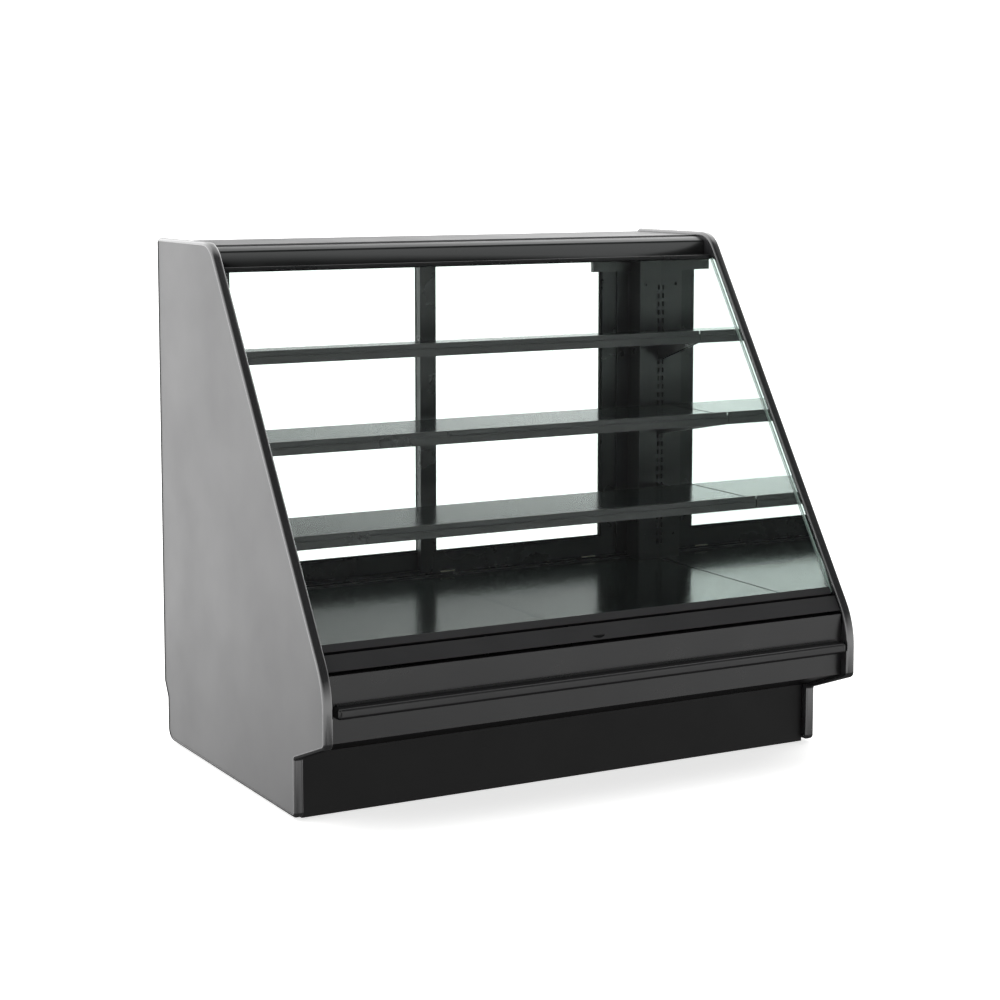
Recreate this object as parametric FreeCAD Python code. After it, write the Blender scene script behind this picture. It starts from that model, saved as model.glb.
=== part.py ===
import FreeCAD, Part
import math
import os

from FreeCAD import Vector

# Bakery display case, millimetres. +X is the customer's right, -Y the customer's side, +Z up.
# The origin is on the floor, under the middle of the case's bounding box.

# ---- overall size -------------------------------------------------------------------------
HALF_WIDTH = 787.0          # outer faces of the end panels
FRONT_Y = -537.0            # front edge of the end panels
REAR_Y = 543.0              # rear edge of the end panels
TOP_Z = 1400.0              # top edge of the end panels
SLOPE = math.radians(56.15)  # slant of the glass front above the horizontal

# ---- end panels ---------------------------------------------------------------------------
TOP_FRONT_Y = 155.0         # where the slanted edge would meet the top edge
TOP_FRONT_R = 85.0
KNEE_R = 215.0
NOSE_BOTTOM_Z = 221.5
NOSE_R = 18.0
KICK_Y = -359.0
KICK_TOP_Z = 155.7
KICK_R = 14.0
PANEL_BOTTOM_Z = 6.5
REAR_FOOT_Y = 518.0
REAR_FOOT_R = 35.0
REAR_JOG_LOW_Z = 124.0
REAR_JOG_HIGH_Z = 168.0
JOG_R = 15.0
TOP_REAR_R = 14.0
INNER_CORNER_R = 5.0
TRIM_DEPTH = 9.0            # how far the edge trim reaches in from the outline
TRIM_ROUND = 8.0
TRIM_GAP = 0.2
FACE_SETBACK = 1.5          # panel face behind the trim's side
END_THICKNESS = 26.5        # trim width
MIRROR_THICKNESS = 4.8
MIRROR_INSET = 12.0
MIRROR_TOP_Z = 1327.5       # black lining above this, level with the glass hinge
MIRROR_GAP = 0.2
INNER_X = HALF_WIDTH - END_THICKNESS      # mirror face
CORE_X = INNER_X + MIRROR_THICKNESS + MIRROR_GAP
SIDE_GAP = 1.0              # long parts stop this far from the mirror face
BAY_X = INNER_X - SIDE_GAP

# ---- floor structure ----------------------------------------------------------------------
SHEET = 2.0                 # folded steel sheet
BEAM_WALL = 3.0
BASE_BEAM_H = 60.0
BASE_BEAM_W = 40.0
BASE_NOTCH_Z = 17.0
REAR_BEAM_Y = 435.0
BEAM_X = CORE_X             # beams are bolted between the panel cores
KICK_PLATE_Y = -337.0
FASCIA_Y = -508.0
FASCIA_TOP_Z = 391.0
FASCIA_BOTTOM_Z = 225.0
KICK_PLATE_TOP_Z = 161.0
REAR_PANEL_Y = 507.0
VENT_ROWS = 9
VENT_PITCH = 12.0
VENT_HEIGHT = 3.5
VENT_LENGTH = 150.0

# ---- bumper rail --------------------------------------------------------------------------
BUMPER_Z = (289.5, 317.0)
BUMPER_CHANNEL_Z = (286.0, 322.0)
BUMPER_CHANNEL_DEPTH = 4.0
BUMPER_FRONT_Y = -543.0
BUMPER_R = 8.0
BUMPER_WALL = 5.0
BUMPER_X = 742.0
BUMPER_CAP = 9.0

# ---- deck ---------------------------------------------------------------------------------
DECK_Z = 398.0
DECK_FRONT_Y = -441.0
DECK_REAR_Y = 453.0
DECK_FLANGE = 18.0
DECK_SEAM = 1.0
REST_GAP = 0.1              # lift-off parts stand this far above what carries them
DECK_BEAM_H = 34.0
DECK_BEAM_W = 40.0
DECK_BEAM_FRONTS = (-425.0, -10.0, 405.0)
LIP_TOP_Z = 446.0

# ---- corner posts -------------------------------------------------------------------------
POST_X = 687.0
POST_FRONT_Y = 403.0
POST_REAR_Y = 530.0
POST_TOP_Z = 1387.0
SLOT_X = 753.0
SLOT_WIDTH = 6.0
SLOT_HEIGHT = 15.0
SLOT_PITCH = 25.0
TOP_SLOT_Z = 1224.5
SLOT_COUNT = 32
POST_NOTCH_GAP = 2.0
SCREW_X = 708.0
SCREW_ZS = (1234.5, 822.0, 470.0)
SCREW_HEAD_R = 4.5
SCREW_HEAD_H = 2.4
HEADER_COVER_X = 553.0
HEADER_COVER_Y = (454.0, 468.0)
HEADER_COVER_Z = (1273.0, 1387.0)

# ---- shelves ------------------------------------------------------------------------------
SHELF_X = INNER_X - 4.0
SHELF_PITCH = 9 * SLOT_PITCH
SHELF_SKIRT = 22.0
RAIL_THICKNESS = 8.0
RAIL_BELOW = 26.0
RAIL_ABOVE = 10.0
RAIL_GROOVE = 2.5
RAIL_GROOVE_AT = 0.62       # share of the rail's height below the groove
SHELVES = {                 # name: (surface height, front edge, rear edge)
    "bottom": (648.5, -106.0, 234.0),
    "middle": (648.5 + SHELF_PITCH, 42.0, 372.0),
    "top": (648.5 + 2 * SHELF_PITCH, 189.0, 372.0),
}
BRACKET_THICKNESS = 3.0
BRACKET_HEIGHT = 71.0
BRACKET_TIP = 8.0
BRACKET_SETBACK = 26.0
HOOK_HEIGHT = 11.0
HOOK_REACH = 9.0
HOOK_DROP = 5.0
HOOK_NECK = 3.2

# ---- rear doors ---------------------------------------------------------------------------
DOOR_THICKNESS = 22.0
DOOR_MEMBER = 49.0
DOOR_INNER_X = {"right": -18.0, "left": 40.0}  # edges that overlap in the middle
DOOR_OUTER_X = 645.0
DOOR_Z = (411.0, 1379.0)
DOOR_GLASS = 5.0
DOOR_REBATE = 9.0
DOOR_FRONT_Y = {"right": 473.0, "left": 499.0}
GLIDE_GAP = 0.1
TRACK_BASE_Z = 403.0
TRACK_BASE = 4.0
TRACK_RIB = 3.0
TRACK_RIB_H = 9.0
TRACK_GROOVE = 7.0
TOP_TRACK_Z = (1368.0, 1387.0)
TRACK_Y = (469.0, 525.0)
TRACK_FIN = 2.5
JAMB_GAP = 1.5
PULL_SIZE = (26.0, 120.0)
PULL_DEPTH = 12.0
PULL_WALL = 2.0
PULL_Z = 900.0
GLIDE_LENGTH = 46.0
GLIDE_WIDTH = 16.0

# ---- front glass --------------------------------------------------------------------------
HINGE_Y = 139.2
HINGE_Z = 1331.5
GLASS_THICKNESS = 6.0
GLASS_TOP = 5.0             # distances down the slope from the hinge axis
GLASS_END = 1071.4
TOP_RAIL = (3.0, 9.0)
TOP_RAIL_HALF = 5.5
BOTTOM_RAIL = (1057.4, 1077.4)
RAIL_HALF = 7.0
GLASS_X = INNER_X - 3.5
HINGE_XS = (-532.0, 0.0, 532.0)
KNUCKLE_R = 4.5
PIN_R = 2.0
PIN_CLEARANCE = 0.05
KNUCKLE_HALF = 20.0
KNUCKLE_GAP = 0.5
KNUCKLE_END = 45.0
LEAF_Y = (146.0, 210.0)
LEAF_THICKNESS = 2.5
LOWER_PANEL = (1087.4, 1130.9)
LOWER_PANEL_N = 14.0        # face of the lower panel in front of the glass plane
FINGER_SLOT = (38.0, 8.0)
FINGER_SLOT_S = 1118.4

# ---- canopy and light ---------------------------------------------------------------------
CANOPY_FRONT_Y = 174.0
CANOPY_BOTTOM_Z = 1331.5
CANOPY_BROW = (1374.8, 8.0)  # height and radius where the front turns into the crown
CANOPY_CROWN = (195.0, 70.0)  # depth and radius where the crown levels out
CANOPY_TOP_Z = 1387.0
CANOPY_BACK_Y = 215.0
CANOPY_WALL = 2.5
CANOPY_EDGE_R = 1.0
ROOF_Z = 1391.0
ROOF_THICKNESS = 3.0
ROOF_FRONT_Y = 215.0
ROOF_HEM = 2.5
ROOF_HEM_LOW_Z = 1380.0
ROOF_REAR_Y = 541.0
LIGHT_Y = 243.0
LIGHT_HALF = 22.0
LIGHT_X = 740.0
LIGHT_TOP_Z = 1388.0
LIGHT_SPLIT_Z = 1352.0
LENS_BOTTOM_Z = 1329.0
CLIP_BOTTOM_Z = 1318.0
CLIP_WIDTH = 44.0

# ---- electrical ---------------------------------------------------------------------------
SERVICE_X = (560.0, 700.0)
SERVICE_Z = (250.0, 330.0)
INLET_X = 597.0
INLET_SIZE = (48.0, 30.0)
INLET_RECESS = (28.0, 18.0, 18.0)
BLADE_SHORT = 7.0           # blades end this far inside the inlet's face
SWITCH_X = 665.0
SWITCH_SIZE = (14.0, 26.0)
SERVICE_MID_Z = (SERVICE_Z[0] + SERVICE_Z[1]) / 2


def box(x0, x1, y0, y1, z0, z1):
    """Axis-aligned block between two corners."""
    return Part.makeBox(x1 - x0, y1 - y0, z1 - z0, Vector(x0, y0, z0))


def prism(points, x0, x1):
    """Straight-sided (y, z) outline run along X."""
    corners = [Vector(x0, y, z) for y, z in points]
    wire = Part.makePolygon(corners + corners[:1])
    return Part.Face(wire).extrude(Vector(x1 - x0, 0, 0))


def cylinder_x(y, z, radius, x0, x1):
    """Round bar along X."""
    return Part.makeCylinder(radius, x1 - x0, Vector(x0, y, z), Vector(1, 0, 0))


def mirrored(shape):
    """The same part for the other end of the case."""
    return shape.mirror(Vector(0, 0, 0), Vector(1, 0, 0))


def both_ends(shape):
    """A pair of solids, one at each end."""
    return Part.makeCompound([shape, mirrored(shape)])


def save(name, shape):
    """Write one sub-part."""
    shape.exportStep(os.path.join("parts", name + ".step"))


def save_pair(stem, right_shape):
    """Write the right-hand part and its mirror image."""
    save(stem + "_right", right_shape)
    save(stem + "_left", mirrored(right_shape))


def unit(a, b):
    """Direction from a to b in the (y, z) plane, and the distance."""
    dy = b[0] - a[0]
    dz = b[1] - a[1]
    length = math.hypot(dy, dz)
    return (dy / length, dz / length), length


def rounded_wire(corners, x):
    """Closed (y, z) outline of (y, z, radius) corners joined by tangent arcs, at one x."""
    edges = []
    points = []
    count = len(corners)
    for i, (y, z, radius) in enumerate(corners):
        before = corners[i - 1]
        after = corners[(i + 1) % count]
        back, _ = unit((y, z), before)
        ahead, _ = unit((y, z), after)
        half = math.acos(back[0] * ahead[0] + back[1] * ahead[1]) / 2
        run = radius / math.tan(half)
        middle, _ = unit((0, 0), (back[0] + ahead[0], back[1] + ahead[1]))
        reach = radius / math.sin(half) - radius
        start = Vector(x, y + back[0] * run, z + back[1] * run)
        crest = Vector(x, y + middle[0] * reach, z + middle[1] * reach)
        end = Vector(x, y + ahead[0] * run, z + ahead[1] * run)
        points.append((start, crest, end))
    for i, (start, crest, end) in enumerate(points):
        edges.append(Part.Arc(start, crest, end).toShape())
        edges.append(Part.LineSegment(end, points[(i + 1) % count][0]).toShape())
    return Part.Wire(edges)


def slope_y(z):
    """Y of the end panel's slanted edge at height z."""
    return TOP_FRONT_Y - (TOP_Z - z) / math.tan(SLOPE)


def slant(s, n):
    """(y, z) of a point s down the glass from its hinge axis and n out of its plane."""
    y = HINGE_Y - s * math.cos(SLOPE) - n * math.sin(SLOPE)
    z = HINGE_Z - s * math.sin(SLOPE) + n * math.cos(SLOPE)
    return y, z


def slant_block(s0, s1, n0, n1, x0, x1):
    """Block lined up with the slanted glass."""
    return prism([slant(s0, n0), slant(s1, n0), slant(s1, n1), slant(s0, n1)], x0, x1)


def end_corners():
    """Corners of the end panel's outline."""
    knee_z = TOP_Z - (TOP_FRONT_Y - FRONT_Y) * math.tan(SLOPE)
    return [
        (REAR_Y, TOP_Z, TOP_REAR_R),
        (TOP_FRONT_Y, TOP_Z, TOP_FRONT_R),
        (FRONT_Y, knee_z, KNEE_R),
        (FRONT_Y, NOSE_BOTTOM_Z, NOSE_R),
        (KICK_Y, KICK_TOP_Z, INNER_CORNER_R),
        (KICK_Y, PANEL_BOTTOM_Z, KICK_R),
        (REAR_FOOT_Y, PANEL_BOTTOM_Z, REAR_FOOT_R),
        (REAR_FOOT_Y, REAR_JOG_LOW_Z, JOG_R),
        (REAR_Y, REAR_JOG_HIGH_Z, JOG_R),
    ]


def end_slab(inset, x0, x1):
    """End panel outline, pulled in by inset, as a slab."""
    face = Part.Face(rounded_wire(end_corners(), x0))
    if inset:
        face = Part.Face(face.makeOffset2D(-inset).OuterWire)
    return face.extrude(Vector(x1 - x0, 0, 0))


def end_panel():
    """Laminated core of the end, held in the edge trim, with a lining above the mirror."""
    inset = TRIM_DEPTH + TRIM_GAP
    slab = end_slab(inset, CORE_X, HALF_WIDTH - FACE_SETBACK)
    lining = end_slab(inset, INNER_X, CORE_X)
    keep = box(INNER_X, CORE_X, FRONT_Y, POST_FRONT_Y - 1, MIRROR_TOP_Z + MIRROR_GAP, TOP_Z)
    return slab.fuse(lining.common(keep)).removeSplitter()


def end_trim():
    """Bullnose moulding round the edge of the end panel."""
    outer = end_slab(0, INNER_X, HALF_WIDTH)
    rim = []
    for edge in outer.Edges:
        xs = [v.X for v in edge.Vertexes]
        if max(xs) - min(xs) < 1e-6:
            rim.append(edge)
    outer = outer.makeFillet(TRIM_ROUND, rim)
    return outer.cut(end_slab(TRIM_DEPTH, INNER_X - 1, HALF_WIDTH + 1))


def end_mirror():
    """Mirror on the inside of the end, between deck, slanted edge, canopy and post."""
    inset = MIRROR_INSET / math.sin(SLOPE)
    bottom = DECK_Z + 1
    outline = [
        (slope_y(bottom) + inset, bottom),
        (slope_y(MIRROR_TOP_Z) + inset, MIRROR_TOP_Z),
        (POST_FRONT_Y - 1, MIRROR_TOP_Z),
        (POST_FRONT_Y - 1, bottom),
    ]
    mirror = prism(outline, INNER_X, INNER_X + MIRROR_THICKNESS)
    return mirror.common(end_slab(MIRROR_INSET, INNER_X - 1, HALF_WIDTH))


def tube_x(y0, z0, width, height, wall, half_length):
    """Rectangular tube along X."""
    outer = box(-half_length, half_length, y0, y0 + width, z0, z0 + height)
    inner = box(-half_length - 1, half_length + 1,
                y0 + wall, y0 + width - wall, z0 + wall, z0 + height - wall)
    return outer.cut(inner)


def base_beams():
    """Floor beams under the front and the rear, notched at the ends over the panels' trim."""
    beams = []
    for y0 in (KICK_PLATE_Y + SHEET, REAR_BEAM_Y):
        beam = tube_x(y0, 0, BASE_BEAM_W, BASE_BEAM_H, BEAM_WALL, BEAM_X)
        for x0, x1 in ((-BEAM_X - 1, -BAY_X), (BAY_X, BEAM_X + 1)):
            beam = beam.cut(box(x0, x1, y0 - 1, y0 + BASE_BEAM_W + 1, -1, BASE_NOTCH_Z))
        beams.append(beam)
    return Part.makeCompound(beams)


def deck_beams():
    """Beams that carry the deck pans between the ends."""
    z0 = DECK_Z - DECK_FLANGE - DECK_BEAM_H - REST_GAP
    beams = [tube_x(y, z0, DECK_BEAM_W, DECK_BEAM_H, BEAM_WALL, BEAM_X)
             for y in DECK_BEAM_FRONTS]
    return Part.makeCompound(beams)


def cabinet_floor():
    """Floor sheet of the closed lower cabinet."""
    return box(-BEAM_X, BEAM_X, KICK_PLATE_Y + SHEET, REAR_PANEL_Y,
               BASE_BEAM_H, BASE_BEAM_H + SHEET)


def kick_plate():
    """Toe kick down to the floor, with a fold behind its top edge."""
    plate = box(-BAY_X, BAY_X, KICK_PLATE_Y, KICK_PLATE_Y + SHEET, 0, KICK_PLATE_TOP_Z)
    fold_z = KICK_PLATE_TOP_Z - SHEET
    fold = box(-BAY_X, BAY_X, KICK_PLATE_Y, KICK_PLATE_Y + 20, fold_z, KICK_PLATE_TOP_Z)
    return plate.fuse(fold).removeSplitter()


def front_fascia():
    """Front panel, folded back underneath to the toe kick."""
    face = box(-BAY_X, BAY_X, FASCIA_Y, FASCIA_Y + SHEET, FASCIA_BOTTOM_Z, FASCIA_TOP_Z)
    underside = prism([
        (FASCIA_Y, FASCIA_BOTTOM_Z),
        (KICK_PLATE_Y, KICK_PLATE_TOP_Z),
        (KICK_PLATE_Y, KICK_PLATE_TOP_Z + SHEET),
        (FASCIA_Y + SHEET, FASCIA_BOTTOM_Z + SHEET),
        (FASCIA_Y, FASCIA_BOTTOM_Z + SHEET),
    ], -BAY_X, BAY_X)
    shelf_z = FASCIA_TOP_Z - SHEET
    top_fold = box(-BAY_X, BAY_X, FASCIA_Y, FASCIA_Y + 18, shelf_z, FASCIA_TOP_Z)
    return face.fuse([underside, top_fold]).removeSplitter()


def bumper_profile(inset, x0, x1):
    """D-shaped bumper section, pulled in by inset."""
    back = FASCIA_Y - BUMPER_CHANNEL_DEPTH
    front = BUMPER_FRONT_Y + inset
    low = BUMPER_Z[0] + inset
    high = BUMPER_Z[1] - inset
    block = box(x0, x1, front, back, low, high)
    rounds = [e for e in block.Edges
              if abs(e.CenterOfMass.y - front) < 1e-6 and abs(e.CenterOfMass.x) < 1e-6]
    return block.makeFillet(BUMPER_R - inset, rounds)


def bumper_channel():
    """Dark fixing channel behind the bumper rail."""
    return box(-BUMPER_X, BUMPER_X, FASCIA_Y - BUMPER_CHANNEL_DEPTH, FASCIA_Y,
               BUMPER_CHANNEL_Z[0], BUMPER_CHANNEL_Z[1])


def bumper_rail():
    """Hollow rubbing rail along the front."""
    outer = bumper_profile(0, -BUMPER_X, BUMPER_X)
    inner = bumper_profile(BUMPER_WALL, -BUMPER_X - 1, BUMPER_X + 1)
    return outer.cut(inner)


def bumper_end_caps():
    """Rounded caps that close the rail's two ends."""
    length = 2 * BUMPER_X + 2 * BUMPER_CAP
    whole = bumper_profile(0, -length / 2, length / 2)
    ends = [e for e in whole.Edges
            if abs(abs(e.CenterOfMass.x) - length / 2) < 1e-6
            and e.CenterOfMass.y < FASCIA_Y - BUMPER_CHANNEL_DEPTH - 1]
    whole = whole.makeFillet(BUMPER_CAP - 3, ends)
    middle = box(-BUMPER_X, BUMPER_X, BUMPER_FRONT_Y - 1, FASCIA_Y,
                 BUMPER_Z[0] - 1, BUMPER_Z[1] + 1)
    return Part.makeCompound(whole.cut(middle).Solids)


def lower_front_panel():
    """Slanted panel below the glass, with a crescent finger slot."""
    top, bottom = LOWER_PANEL
    face = slant_block(top, bottom, LOWER_PANEL_N - SHEET, LOWER_PANEL_N, -BAY_X, BAY_X)
    ledge = slant_block(top, top + SHEET, -18, LOWER_PANEL_N, -BAY_X, BAY_X)
    width, height = FINGER_SLOT
    normal = Vector(0, -math.sin(SLOPE), math.cos(SLOPE))
    half = width / 2
    radius = (half * half + height * height) / (2 * height)
    centre_y, centre_z = slant(FINGER_SLOT_S - radius + height, LOWER_PANEL_N - 6)
    disc = Part.makeCylinder(radius, 12, Vector(0, centre_y, centre_z), normal)
    keep = slant_block(FINGER_SLOT_S, FINGER_SLOT_S + height + 1, -2, 20, -half, half)
    return face.fuse(ledge).removeSplitter().cut(disc.common(keep))


def deck_front_lip():
    """Upstand at the front of the deck, behind the foot of the glass."""
    wall = box(-BAY_X, BAY_X, DECK_FRONT_Y - 1 - SHEET, DECK_FRONT_Y - 1,
               DECK_Z - DECK_FLANGE, LIP_TOP_Z)
    foot_z = DECK_Z - DECK_FLANGE
    foot = box(-BAY_X, BAY_X, DECK_FRONT_Y - 1 - SHEET, DECK_FRONT_Y + 12,
               foot_z - SHEET, foot_z)
    return wall.fuse(foot).removeSplitter()


def deck_pan(sign):
    """One lift-out deck pan, notched round the corner post."""
    inner = DECK_SEAM
    outer = INNER_X - 2.5
    top = box(inner, outer, DECK_FRONT_Y, DECK_REAR_Y, DECK_Z - DECK_FLANGE, DECK_Z)
    notch = box(POST_X - POST_NOTCH_GAP, outer + 1, POST_FRONT_Y - POST_NOTCH_GAP,
                DECK_REAR_Y + 1, DECK_Z - DECK_FLANGE - 1, DECK_Z + 1)
    hollow = box(inner + SHEET, outer - SHEET, DECK_FRONT_Y + SHEET,
                 POST_FRONT_Y - POST_NOTCH_GAP - SHEET,
                 DECK_Z - DECK_FLANGE - 1, DECK_Z - SHEET)
    tail = box(inner + SHEET, POST_X - POST_NOTCH_GAP - SHEET, DECK_FRONT_Y + SHEET,
               DECK_REAR_Y - SHEET, DECK_Z - DECK_FLANGE - 1, DECK_Z - SHEET)
    pan = top.cut(notch).cut(hollow).cut(tail)
    return pan if sign > 0 else mirrored(pan)


def corner_post():
    """Folded post with a row of shelf slots next to the mirror."""
    bottom = DECK_Z - DECK_FLANGE
    outer = box(POST_X, CORE_X, POST_FRONT_Y, POST_REAR_Y, bottom, POST_TOP_Z)
    inner = box(POST_X + SHEET, CORE_X - SHEET, POST_FRONT_Y + SHEET, POST_REAR_Y - SHEET,
                bottom - 1, POST_TOP_Z + 1)
    half = SLOT_WIDTH / 2
    slots = []
    for i in range(SLOT_COUNT):
        z = TOP_SLOT_Z - i * SLOT_PITCH
        slots.append(box(SLOT_X - half, SLOT_X + half, POST_FRONT_Y - 1,
                         POST_FRONT_Y + SHEET + 1, z - SLOT_HEIGHT / 2, z + SLOT_HEIGHT / 2))
    return outer.cut(inner).cut(Part.makeCompound(slots))


def post_screws():
    """Domed screws that hold the posts' faces to their frames."""
    heads = []
    for z in SCREW_ZS:
        base = Vector(SCREW_X, POST_FRONT_Y, z)
        shank = Part.makeCylinder(SCREW_HEAD_R, SCREW_HEAD_H, base, Vector(0, -1, 0))
        face_y = POST_FRONT_Y - SCREW_HEAD_H
        rim = [e for e in shank.Edges if abs(e.CenterOfMass.y - face_y) < 1e-6]
        heads.append(shank.makeFillet(SCREW_HEAD_H * 0.7, rim))
    heads += [mirrored(head) for head in heads]
    return Part.makeCompound(heads)


def header_cover():
    """Folded cover beside the head of the right-hand post."""
    y0, y1 = HEADER_COVER_Y
    z0, z1 = HEADER_COVER_Z
    plate = box(HEADER_COVER_X, POST_X, y0, y1, z0, z1)
    hollow = box(HEADER_COVER_X + SHEET, POST_X - SHEET, y0 + SHEET, y1 + 1,
                 z0 + SHEET, z1 - SHEET)
    return plate.cut(hollow)


def rear_sill():
    """Folded sill under the door tracks."""
    outer = box(-POST_X + 1, POST_X - 1, DECK_REAR_Y + 2, POST_REAR_Y,
                DECK_Z - DECK_FLANGE - 20, TRACK_BASE_Z)
    inner = box(-POST_X, POST_X, DECK_REAR_Y + 2 + SHEET, POST_REAR_Y - SHEET,
                DECK_Z - DECK_FLANGE - 21, TRACK_BASE_Z - SHEET)
    return outer.cut(inner)


def door_middle_y(side):
    """Mid-plane of a door."""
    return DOOR_FRONT_Y[side] + DOOR_THICKNESS / 2


def door_bottom_track():
    """Bottom track with one guide rib for each door."""
    length = POST_X - 1
    top = TRACK_BASE_Z + TRACK_BASE
    track = box(-length, length, TRACK_Y[0], TRACK_Y[1], TRACK_BASE_Z, top)
    ribs = []
    for side in DOOR_FRONT_Y:
        y = door_middle_y(side)
        ribs.append(box(-length, length, y - TRACK_RIB / 2, y + TRACK_RIB / 2,
                        top, top + TRACK_RIB_H))
    return track.fuse(ribs).removeSplitter()


def door_top_track():
    """Top track: three fins that form two channels."""
    length = POST_X - 1
    low, high = TOP_TRACK_Z
    web = box(-length, length, TRACK_Y[0], TRACK_Y[1], high - 3, high)
    middle = (DOOR_FRONT_Y["right"] + DOOR_THICKNESS + DOOR_FRONT_Y["left"]) / 2
    fins = []
    for y0 in (TRACK_Y[0], middle - TRACK_FIN / 2, TRACK_Y[1] - TRACK_FIN):
        fins.append(box(-length, length, y0, y0 + TRACK_FIN, low, high - 3))
    return web.fuse(fins).removeSplitter()


def door_jamb():
    """Channel beside the post that the closed door meets."""
    low = TRACK_BASE_Z + TRACK_BASE + TRACK_RIB_H + 0.5
    outer = box(DOOR_OUTER_X + JAMB_GAP, POST_X, TRACK_Y[0], TRACK_Y[1],
                low, TOP_TRACK_Z[0] - 0.5)
    pocket = box(DOOR_OUTER_X + JAMB_GAP + 6, POST_X - SHEET, TRACK_Y[0] + SHEET,
                 TRACK_Y[1] - SHEET, low - 1, TOP_TRACK_Z[0])
    return outer.cut(pocket)


def door_span(side):
    """Lowest and highest x of a closed door."""
    if side == "right":
        return DOOR_INNER_X[side], DOOR_OUTER_X
    return -DOOR_OUTER_X, DOOR_INNER_X[side]


def pull_x(side):
    """Middle of the door's outer stile."""
    middle = DOOR_OUTER_X - DOOR_MEMBER / 2
    return middle if side == "right" else -middle


def glide_xs(side):
    """Positions of the two glides under a door."""
    x0, x1 = door_span(side)
    return x0 + 90, x1 - 90


def door_frame(side):
    """Door frame, rebated for its glass and grooved over its track rib."""
    x0, x1 = door_span(side)
    y0 = DOOR_FRONT_Y[side]
    y1 = y0 + DOOR_THICKNESS
    low, high = DOOR_Z
    member = DOOR_MEMBER
    outer = box(x0, x1, y0, y1, low, high)
    window = box(x0 + member, x1 - member, y0 - 1, y1 + 1, low + member + 7, high - member)
    middle = door_middle_y(side)
    rebate = box(x0 + member - DOOR_REBATE, x1 - member + DOOR_REBATE,
                 middle - DOOR_GLASS / 2, middle + DOOR_GLASS / 2,
                 low + member + 7 - DOOR_REBATE, high - member + DOOR_REBATE)
    groove = box(x0 - 1, x1 + 1, middle - TRACK_GROOVE / 2, middle + TRACK_GROOVE / 2,
                 low - 1, low + TRACK_RIB_H)
    width, height = PULL_SIZE
    px = pull_x(side)
    cup = box(px - width / 2, px + width / 2, y1 - PULL_DEPTH, y1 + 1,
              PULL_Z - height / 2, PULL_Z + height / 2)
    frame = outer.cut(window).cut(rebate).cut(groove).cut(cup)
    for gx in glide_xs(side):
        pocket = box(gx - GLIDE_LENGTH / 2, gx + GLIDE_LENGTH / 2,
                     middle - GLIDE_WIDTH / 2, middle + GLIDE_WIDTH / 2, low - 1, low + 14)
        frame = frame.cut(pocket)
    return frame


def door_glass(side):
    """Door pane, held in the frame's rebate."""
    x0, x1 = door_span(side)
    edge = DOOR_MEMBER - DOOR_REBATE
    middle = door_middle_y(side)
    return box(x0 + edge, x1 - edge, middle - DOOR_GLASS / 2, middle + DOOR_GLASS / 2,
               DOOR_Z[0] + edge + 7, DOOR_Z[1] - edge)


def door_pull(side):
    """Finger cup let into the outer stile, reached from behind the case."""
    width, height = PULL_SIZE
    y1 = DOOR_FRONT_Y[side] + DOOR_THICKNESS
    px = pull_x(side)
    cup = box(px - width / 2, px + width / 2, y1 - PULL_DEPTH, y1,
              PULL_Z - height / 2, PULL_Z + height / 2)
    flange = box(px - width / 2 - 4, px + width / 2 + 4, y1, y1 + 1,
                 PULL_Z - height / 2 - 4, PULL_Z + height / 2 + 4)
    hollow = box(px - width / 2 + PULL_WALL, px + width / 2 - PULL_WALL,
                 y1 - PULL_DEPTH + PULL_WALL, y1 + 2,
                 PULL_Z - height / 2 + PULL_WALL, PULL_Z + height / 2 - PULL_WALL)
    return cup.fuse(flange).removeSplitter().cut(hollow)


def door_glides(side):
    """Nylon glides that carry the door on the bottom track."""
    middle = door_middle_y(side)
    base = TRACK_BASE_Z + TRACK_BASE
    low = DOOR_Z[0]
    glides = []
    for gx in glide_xs(side):
        block = box(gx - GLIDE_LENGTH / 2, gx + GLIDE_LENGTH / 2,
                    middle - GLIDE_WIDTH / 2, middle + GLIDE_WIDTH / 2,
                    base + GLIDE_GAP, low + 14)
        groove = box(gx - GLIDE_LENGTH, gx + GLIDE_LENGTH,
                     middle - TRACK_GROOVE / 2, middle + TRACK_GROOVE / 2, base - 1,
                     low + TRACK_RIB_H)
        glides.append(block.cut(groove))
    return Part.makeCompound(glides)


def canopy_nose():
    """Rounded tube along the top front edge, set back from the panels' outline."""
    x = -BAY_X
    run = Vector(2 * BAY_X, 0, 0)
    outline = rounded_wire([
        (CANOPY_FRONT_Y, CANOPY_BOTTOM_Z, CANOPY_EDGE_R),
        (CANOPY_FRONT_Y, CANOPY_BROW[0], CANOPY_BROW[1]),
        (CANOPY_CROWN[0], CANOPY_TOP_Z, CANOPY_CROWN[1]),
        (CANOPY_BACK_Y, CANOPY_TOP_Z, CANOPY_EDGE_R),
        (CANOPY_BACK_Y, CANOPY_BOTTOM_Z, CANOPY_EDGE_R),
    ], x)
    section = Part.Face(outline)
    hollow = Part.Face(section.makeOffset2D(-CANOPY_WALL).OuterWire)
    return section.extrude(run).cut(hollow.extrude(run))


def canopy_roof():
    """Top sheet, hemmed down behind the rounded front and folded down at the rear."""
    sheet = box(-BAY_X, BAY_X, ROOF_FRONT_Y, ROOF_REAR_Y, ROOF_Z - ROOF_THICKNESS, ROOF_Z)
    hem = box(-BAY_X, BAY_X, ROOF_FRONT_Y, ROOF_FRONT_Y + ROOF_HEM, ROOF_HEM_LOW_Z, ROOF_Z)
    fold = box(-BAY_X, BAY_X, ROOF_REAR_Y - SHEET, ROOF_REAR_Y, POST_TOP_Z - 20, ROOF_Z)
    return sheet.fuse([hem, fold]).removeSplitter()


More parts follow.
